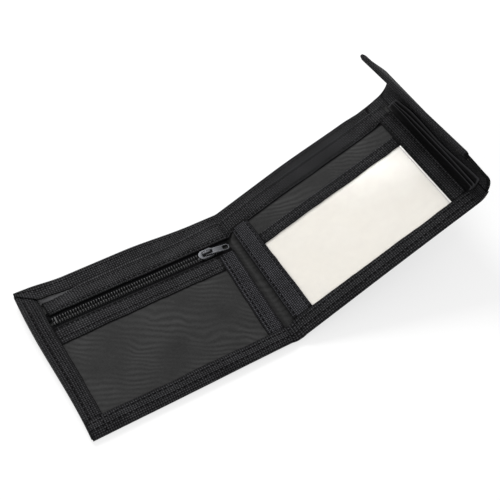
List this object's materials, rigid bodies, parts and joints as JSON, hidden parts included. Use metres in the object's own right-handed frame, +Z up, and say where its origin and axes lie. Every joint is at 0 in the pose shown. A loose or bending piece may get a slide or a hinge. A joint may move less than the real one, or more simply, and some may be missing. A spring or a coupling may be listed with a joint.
{
  "type": "bifold wallet",
  "caption": "Black nylon bifold wallet lying open: bill compartment along the top, zipped coin pocket, clear window pocket with a blank card, and a wrap-over closing flap.",
  "frame": {"origin": "middle of the left panel's underside, on the table", "axes": "+X along the open wallet to the right panel, +Y to the bill mouth, +Z up"},
  "size_m": [0.2197, 0.0972, 0.0749],
  "materials": {
    "nylon": "fine woven black nylon, slight sheen",
    "smooth_lining": "smooth dark taffeta",
    "grey_lining": "plain grey lining cloth",
    "zip_tape": "black knitted zip tape",
    "zip_coil": "black nylon coil",
    "zip_metal": "gun-metal plated",
    "loop_pile": "black loop pile",
    "hook_tape": "black hook tape",
    "clear_vinyl": "clear soft vinyl sheet",
    "card_stock": "plain white card"
  },
  "bodies": {
    "left_panel": {"left_shell": "nylon", "left_shell_lining": "grey_lining", "left_shell_binding": "nylon", "loop_strip": "loop_pile", "left_bill_front": "smooth_lining", "left_top_band": "nylon", "left_edge_binding": "nylon", "left_hem": "nylon", "left_fold_tape": "nylon", "coin_pocket_back": "smooth_lining", "coin_pocket_face": "smooth_lining", "zip_band": "nylon", "zip_tape_lower": "zip_tape", "zip_tape_upper": "zip_tape", "zip_coil_lower": "zip_coil", "zip_coil_upper": "zip_coil", "zip_stops": "zip_metal", "centre_spine": "nylon", "front_wall_spine": "smooth_lining", "top_band_spine": "nylon", "hem_spine": "nylon"},
    "right_panel": {"right_shell": "nylon", "right_shell_lining": "grey_lining", "right_shell_binding": "nylon", "right_bill_front": "smooth_lining", "right_top_band": "nylon", "right_hem": "nylon", "right_fold_tape": "nylon", "window_side_tape": "nylon", "side_pocket_inner": "smooth_lining", "side_pocket_middle": "smooth_lining", "side_pocket_outer": "smooth_lining", "window_back_ply": "smooth_lining", "window_sheet": "clear_vinyl", "window_binding": "nylon", "flap_spine": "nylon"},
    "flap": {"flap_shell": "nylon", "flap_lining": "smooth_lining", "flap_binding": "nylon", "hook_strip": "hook_tape"},
    "slider": {"slider_body": "zip_metal"},
    "pull": {"slider_pull": "zip_metal"},
    "card": {"insert_card": "card_stock"}
  },
  "joints": [
    {"name": "centre_fold", "type": "hinge", "parent": "left_panel", "child": "right_panel", "pos_m": [0.061, 0, 0.00952], "axis": [0, -1, 0], "range_deg": [-21.3, 158.7], "deforming": ["centre_spine", "front_wall_spine", "top_band_spine", "hem_spine"]},
    {"name": "flap_fold", "type": "hinge", "parent": "right_panel", "child": "flap", "pos_m": [0.15921, 0, 0.04942], "axis": [0, -1, 0], "range_deg": [-105, 75], "deforming": ["flap_spine"]},
    {"name": "zip_slide", "type": "slide", "parent": "left_panel", "child": "slider", "axis": [-1, 0, 0], "range_m": [0, 0.0781]},
    {"name": "pull_lift", "type": "hinge", "parent": "slider", "child": "pull", "pos_m": [0.04385, 0.02014, 0.00946], "axis": [0, 0.9982, 0.0605], "range_deg": [-150, 0]},
    {"name": "insert_slide", "type": "slide", "parent": "right_panel", "child": "card", "axis": [-0.022, 0.9982, 0.0563], "range_m": [0, 0.06]}
  ]
}
